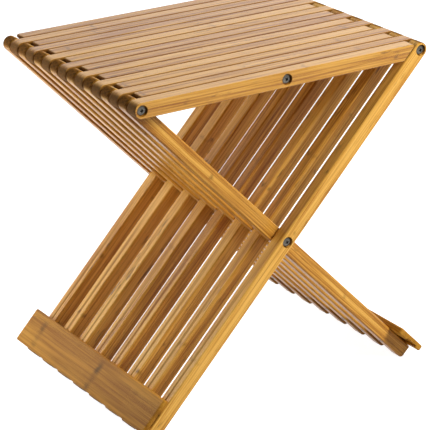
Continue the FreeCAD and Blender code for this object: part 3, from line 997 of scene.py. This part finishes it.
@dataclass
class LegSlats(SlatSet):
    """Sloping slats from a hinge rod through the crossing down to the floor."""

    slot: ClassVar[str] = "bamboo_legs"
    recess_side: ClassVar[Mouth] = Mouth.FAR

    @property
    def tilt(self) -> float:
        """Angle of the slats below the level, in degrees."""
        return self.sizes.leg_pitch

    def bends(self) -> tuple[Bend, ...]:
        """Outline of a slat.

        Returns:
            Knuckle, and a square foot with a round corner on the floor.
        """
        sizes = self.sizes
        low, high = (Vector((sizes.leg_length, level)) for level in (-sizes.half_depth, sizes.half_depth))
        return (
            sizes.knuckle(),
            Bend.at_corner(low, sizes.foot_round, DOWNWARD, RIGHTWARD),
            Bend.at_corner(high, sizes.tip_round, RIGHTWARD, UPWARD),
        )

    def bores(self) -> tuple[PivotBore, ...]:
        """Holes for the hinge rod and the rod at the crossing."""
        return PivotBore(0.0), PivotBore(self.sizes.leg_above)

    def fixing(self) -> FixingBore:
        """Hole for the screw into the foot board."""
        return FixingBore(self.sizes.fixing_reach)


@dataclass
class FootBoard:
    """Board across the outer edges of one set of legs, its fibres along the stool's width."""

    name: str
    body: str
    node: str
    hinge: Hinge
    sizes: StoolSizes
    finish: Material
    tone: float

    def outline(self) -> tuple[Bend | Corner, ...]:
        """Section of the board.

        Returns:
            Rounded corners, and the groove along its inner face.
        """
        sizes = self.sizes
        low, high = sizes.half_depth, sizes.half_depth + sizes.board_thick
        right, left = sizes.board_end, sizes.board_end - sizes.board_width
        groove_right = right - sizes.groove_rise
        groove_left, floor = groove_right - sizes.groove_width, low + sizes.groove_depth
        inward, still = direction(DOWNWARD), Vector((0, 0))

        def rounded(x: float, y: float, facing: float) -> Bend:
            """Rounded outer corner."""
            return Bend.at_corner(Vector((x, y)), sizes.board_round, facing, facing + QUARTER_TURN)

        return (
            rounded(left, low, LEFTWARD),
            Corner(Vector((groove_left, low)), inward),
            Corner(Vector((groove_left, floor)), still),
            Corner(Vector((groove_right, floor)), still),
            Corner(Vector((groove_right, low)), inward),
            rounded(right, low, DOWNWARD),
            rounded(right, high, RIGHTWARD),
            rounded(left, high, UPWARD),
        )

    def build(self) -> None:
        """Builds the board in its place and ties it to the frame."""
        sizes = self.sizes
        built = bmesh.new()
        rings = EasedBar(self.outline(), sizes.board_span / 2, sizes.edge_round).rings(built)
        loft(built, rings)
        fill(built, rings[0])
        fill(built, rings[-1])
        mesh = finish_mesh(built, self.name)
        along, through = sizes.board_end - sizes.board_width / 2, sizes.half_depth + sizes.board_thick / 2
        note_grain(mesh, Vector((0, 1, 0)), Vector((along, 0, through)) * MM)
        note(mesh, TONE, [self.tone] * len(mesh.vertices))
        mesh.transform(Matrix.Translation(self.hinge.place) @ self.hinge.stance(sizes.leg_pitch))
        mesh.materials.append(self.finish)
        dress(show(mesh, self.name), self.body, [self.node])


@dataclass
class CrossScrew:
    """Screw with a domed or flat head and a cross recess, about +Z with its head's underside at zero."""

    name: str
    head: float
    rim: float
    crown: float
    shank: float
    length: float
    taper: float
    point: float
    recess_span: float
    recess_slot: float
    recess_depth: float
    recess_edge: float = 0.15
    # Gain of the painted shade over the depth share of the cross recess.
    recess_shade_gain: float = 1.6
    spokes: int = 72
    bands: int = 20

    def dome(self, radius: float) -> float:
        """Height of the head's top.

        Args:
            radius: Distance from the head's middle.

        Returns:
            Height over the head's underside.
        """
        rise = self.crown - self.rim
        bow = ((self.head / 2) ** 2 + rise ** 2) / (2 * rise)
        return self.crown - bow + math.sqrt(bow ** 2 - radius ** 2)

    def sunk(self, place: Vector) -> float:
        """Share of the recess's depth at a place on the head.

        Args:
            place: Place from the head's middle.

        Returns:
            From 0, outside the cross, to 1 at its middle.
        """
        aside, out = sorted((abs(place.x), abs(place.y)))
        across = (self.recess_slot / 2 + self.recess_edge - aside) / (2 * self.recess_edge)
        along = 1 - out / (self.recess_span / 2)
        return min(max(across, 0.0), 1.0) * math.sqrt(max(along, 0.0))

    def mesh(self) -> Mesh:
        """Builds the screw.

        Returns:
            Mesh with the depth of its recess noted.
        """
        built = bmesh.new()
        mark = built.verts.layers.float.new(RECESS)
        stations = [(self.point, -self.length), (self.shank / 2, self.taper - self.length),
                    (self.shank / 2, 0.0 if self.rim else -(self.head - self.shank) / 2)]
        if self.rim:
            stations.append((self.head / 2, 0.0))
        stations.append((self.head / 2, self.rim))
        rings = [new_ring(built, [Vector((*point, level)) for point in circle(self.spokes, radius)])
                 for radius, level in stations]
        for band in range(1, self.bands):
            radius = self.head / 2 * (1 - band / self.bands)
            ring = []
            for point in circle(self.spokes, radius):
                share = self.sunk(point)
                vertex = built.verts.new((*point, self.dome(radius) - share * self.recess_depth))
                # Painted shade, deepest in the cross recess.
                vertex[mark] = min(1.0, self.recess_shade_gain * share)
                ring.append(vertex)
            rings.append(ring)
        loft(built, rings)
        built.faces.new(rings[0])
        middle = built.verts.new((0, 0, self.dome(0) - self.recess_depth))
        middle[mark] = 1.0
        for pair in sides(rings[-1]):
            built.faces.new((*pair, middle))
        return finish_mesh(built, self.name)


@dataclass
class ScrewSet:
    """Screws of one body that are alike."""

    name: str
    body: str
    nodes: tuple[str, ...]
    screw: CrossScrew
    places: Sequence[Station]
    seed: int

    def build(self, tree: NodeTree, finish: Material) -> None:
        """Puts the screws in their places and ties them to the frame.

        Args:
            tree: Tree that puts a screw on every point.
            finish: Material of the screws.
        """
        source = show(self.screw.mesh(), f"{self.name}_one")
        points = bpy.data.meshes.new(self.name)
        points.from_pydata([place for place, _ in self.places], [], [])
        facing = points.attributes.new(FACING, "FLOAT_VECTOR", "POINT")
        for index, (_, way) in enumerate(self.places):
            facing.data[index].vector = way
        row = show(points, self.name)
        apply_tree(row, tree, {"Screw": source, "Seed": self.seed, "Finish": finish})
        bpy.data.objects.remove(source)
        dress(row, self.body, self.nodes)


@dataclass
class Fasteners:
    """Domed screws in the rods' ends, wood screws of the foot boards, and the rods themselves."""

    sizes: StoolSizes
    rod_screw: CrossScrew
    wood_screw: CrossScrew

    def rod_ends(self, rod: Vector, crown: float) -> list[Station]:
        """Places of the two screws of a rod.

        Args:
            rod: Middle of the rod.
            crown: How far the crowns stand from the middle.

        Returns:
            Undersides of the heads, with the ways that they face.
        """
        seat = crown - self.rod_screw.crown * MM
        return [(Vector((rod.x, side * seat, rod.z)), Vector((0, side, 0))) for side in (-1, 1)]

    def board_places(self, hinge: Hinge, node: str) -> list[Station]:
        """Places of a foot board's screws, in the inner edges of the legs.

        Args:
            hinge: Rod that the legs hang on.
            node: Name of the leg nodes.

        Returns:
            Tops of the heads, with the ways that they face.
        """
        stance = hinge.stance(self.sizes.leg_pitch)
        head = stance @ (Vector((self.sizes.fixing_reach, 0, -self.sizes.half_depth)) * MM) + hinge.place
        way = stance @ Vector((0, 0, -1))
        return [(Vector((head.x, middle_of(leg).y, head.z)), way) for leg in row_nodes(node)]

    def build(self, tree: NodeTree) -> None:
        """Builds every screw and finishes the rods.

        Args:
            tree: Tree that puts a screw on every point.
        """
        plate = SCREW_PLATE.material()
        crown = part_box("left_hinge_screws")[1].y
        left, right = (self.rod_ends(hinge.place, crown) for hinge in Hinge)
        crossing = self.rod_ends(joint_place("leg_fold"), crown)
        front, rear = self.rod_ends((Hinge.LEFT.place + Hinge.RIGHT.place) / 2, crown)
        sets = (
            ("left_leg_pivot_screws", "left_foot_legs", ("right_hinge_screws", "leg_pivot_screws"),
             self.rod_screw, right + crossing),
            ("right_leg_pivot_screws", "right_foot_legs", ("left_hinge_screws",), self.rod_screw, left),
            ("left_seat_front_screw", "left_seat", ("seat_pivot_front_screw",), self.rod_screw, [front]),
            ("right_seat_rear_screw", "right_seat", ("seat_pivot_rear_screw",), self.rod_screw, [rear]),
            ("left_board_wood_screws", "left_foot_legs", ("left_board_screws",), self.wood_screw,
             self.board_places(Hinge.RIGHT, "left_foot_leg")),
            ("right_board_wood_screws", "right_foot_legs", ("right_board_screws",), self.wood_screw,
             self.board_places(Hinge.LEFT, "right_foot_leg")),
        )
        for seed, (name, body, nodes, screw, places) in enumerate(sets, start=1):
            ScrewSet(name, body, nodes, screw, places, seed).build(tree, plate)
        zinc = ROD_PLATE.material()
        for name, node in frame["nodes"].items():
            if name.endswith(("_rod", "_pins")):
                node.data.materials.clear()
                node.data.materials.append(zinc)
                LOG.info("%s keeps its shape, in zinc plate", name)


@dataclass
class Viewpoint:
    """Where the photograph was taken from, with its lens."""

    eye: Vector
    azimuth: float
    elevation: float
    roll: float
    lens: float
    sensor: float = 36.0

    def build(self) -> None:
        """Makes the scene's camera."""
        level, rise = direction(self.azimuth), direction(self.elevation)
        ahead = Vector((level.y * rise.x, level.x * rise.x, -rise.y))
        right = Vector((level.x, -level.y, 0))
        up = right.cross(ahead)
        lean = direction(self.roll)
        axes = (right * lean.x + up * lean.y, up * lean.x - right * lean.y, -ahead)
        data = bpy.data.cameras.new("photo_camera")
        data.lens, data.sensor_width = self.lens, self.sensor
        camera = bpy.data.objects.new("photo_camera", data)
        camera.matrix_world = Matrix.Translation(self.eye * MM) @ Matrix(axes).transposed().to_4x4()
        bpy.context.scene.collection.objects.link(camera)
        bpy.context.scene.camera = camera


def seen_directly(tree: NodeTree) -> NodeSocket:
    """Share that is 1 for the camera's own rays and for those in reflections and clear things.

    Args:
        tree: Tree of a world or material.

    Returns:
        Socket with that share.
    """
    path = add_node(tree, "ShaderNodeLightPath").outputs
    share = path["Is Camera Ray"]
    for kind in ("Is Glossy Ray", "Is Transmission Ray"):
        share = add_node(tree, "ShaderNodeMath", {0: share, 1: path[kind]}, operation="MAXIMUM").outputs[0]
    return share


@dataclass(frozen=True)
class SoftLamp:
    """Square soft light, aimed at the stool. A lamp that isn't mirrored leaves no glare on the lacquer."""

    name: str
    azimuth: float
    elevation: float
    distance: float
    size: float
    power: float
    mirrored: bool = True


@dataclass
class Studio:
    """White floor and background with soft lamps."""

    lamps: tuple[SoftLamp, ...]
    target: Vector
    ambient: float
    floor_glow: float
    floor_colour: str = "CFCFCF"
    floor_size: float = 12000.0
    floor_drop: float = 0.2

    def build(self) -> None:
        """Makes the floor, the background and the lamps."""
        bpy.context.scene.view_settings.view_transform = "Standard"
        self.build_world()
        self.build_floor()
        for lamp in self.lamps:
            self.hang(lamp)

    def build_world(self) -> None:
        """Makes a world that is white for the eye and in reflections, and a plain even light elsewhere."""
        world = bpy.data.worlds.new("studio_white")
        world.use_nodes = True
        tree = world.node_tree
        tree.nodes.clear()
        strength = add_node(tree, "ShaderNodeMapRange", {
            "Value": seen_directly(tree), "To Min": self.ambient, "To Max": 1.0})
        light = add_node(tree, "ShaderNodeBackground", {"Color": linear(WHITE), "Strength": strength})
        add_node(tree, "ShaderNodeOutputWorld", {"Surface": light})
        bpy.context.scene.world = world

    def build_floor(self) -> None:
        """Makes a pale matt floor that keeps the stool's shadow."""
        half, drop = self.floor_size / 2 * MM, -self.floor_drop * MM
        mesh = bpy.data.meshes.new("floor")
        corners = [(-half, -half, drop), (half, -half, drop), (half, half, drop), (-half, half, drop)]
        mesh.from_pydata(corners, [], [(0, 1, 2, 3)])
        material, tree = new_material("matt_white_floor")
        paint = add_node(tree, "ShaderNodeBsdfDiffuse", {"Color": linear(self.floor_colour)})
        strength = add_node(
            tree, "ShaderNodeMath", {0: seen_directly(tree), 1: self.floor_glow}, operation="MULTIPLY")
        glow = add_node(tree, "ShaderNodeEmission", {"Strength": strength})
        both = add_node(tree, "ShaderNodeAddShader", {0: paint, 1: glow})
        add_node(tree, "ShaderNodeOutputMaterial", {"Surface": both})
        mesh.materials.append(material)
        show(mesh, "floor")

    def hang(self, lamp: SoftLamp) -> None:
        """Hangs one lamp.

        Args:
            lamp: Lamp with its place round the stool.
        """
        level, rise = direction(lamp.azimuth), direction(lamp.elevation)
        back = Vector((level.y * rise.x, -level.x * rise.x, rise.y))
        data = bpy.data.lights.new(lamp.name, "AREA")
        data.size = lamp.size * MM
        data.energy = lamp.power
        hung = bpy.data.objects.new(lamp.name, data)
        hung.location = (self.target + back * lamp.distance) * MM
        hung.visible_glossy = lamp.mirrored
        hung.rotation_mode = "QUATERNION"
        hung.rotation_quaternion = back.to_track_quat("Z", "Y")
        bpy.context.scene.collection.objects.link(hung)


PHOTO_VIEW = Viewpoint(
    eye=Vector((-1253.5, -1972.9, 1125.9)), azimuth=32.411, elevation=21.815, roll=-0.941, lens=171.63)

STUDIO = Studio(
    lamps=(
        SoftLamp("front_right_lamp", azimuth=36, elevation=38, distance=2600, size=1200, power=86,
                 mirrored=False),
        SoftLamp("left_lamp", azimuth=-115, elevation=42, distance=2400, size=1800, power=6.5),
        SoftLamp("low_left_lamp", azimuth=-122, elevation=5, distance=560, size=400, power=1.3),
        SoftLamp("rear_left_lamp", azimuth=-152, elevation=14, distance=700, size=450, power=1.8),
        SoftLamp("rear_right_lamp", azimuth=148, elevation=24, distance=2400, size=2000, power=9.5),
    ),
    target=Vector((0, 0, 220)), ambient=0.03, floor_glow=0.92)

ROD_SCREW = CrossScrew(
    "rod_screw", head=10.5, rim=0.9, crown=2.2, shank=4.0, length=11.0, taper=0.5, point=1.6,
    recess_span=5.2, recess_slot=1.2, recess_depth=1.3)
WOOD_SCREW = CrossScrew(
    "wood_screw", head=8.0, rim=0.0, crown=0.35, shank=4.0, length=24.0, taper=4.0, point=0.3,
    recess_span=4.4, recess_slot=1.1, recess_depth=1.4, spokes=48, bands=14)


def main() -> None:
    """Builds the stool's pieces in order, then the studio around them."""
    logging.basicConfig(level=logging.INFO, format="%(name)s: %(message)s")
    sizes = StoolSizes()
    seat, legs, boards = (finish.material() for finish in (SEAT_BAMBOO, LEG_BAMBOO, BOARD_BAMBOO))
    tree, front, rear = slat_row_tree(), 0, ROW_COUNT - 1
    for kind, body, node, hinge, finish, end_number, seed in (
            (SeatSlats, "left_seat", "left_seat_slat", Hinge.LEFT, seat, front, 11),
            (SeatSlats, "right_seat", "right_seat_slat", Hinge.RIGHT, seat, rear, 12),
            (LegSlats, "left_foot_legs", "left_foot_leg", Hinge.RIGHT, legs, front, 13),
            (LegSlats, "right_foot_legs", "right_foot_leg", Hinge.LEFT, legs, rear, 14)):
        kind(f"{body}_slats", body, node, hinge, sizes, finish, end_number, seed).build(tree)
    for body, node, hinge, tone in (("left_foot_legs", "left_foot_board", Hinge.RIGHT, 0.31),
                                    ("right_foot_legs", "right_foot_board", Hinge.LEFT, 0.62)):
        FootBoard(f"{node}_bamboo", body, node, hinge, sizes, boards, tone).build()
    Fasteners(sizes, ROD_SCREW, WOOD_SCREW).build(screw_set_tree())
    STUDIO.build()
    PHOTO_VIEW.build()


if __name__ == "__main__":
    main()
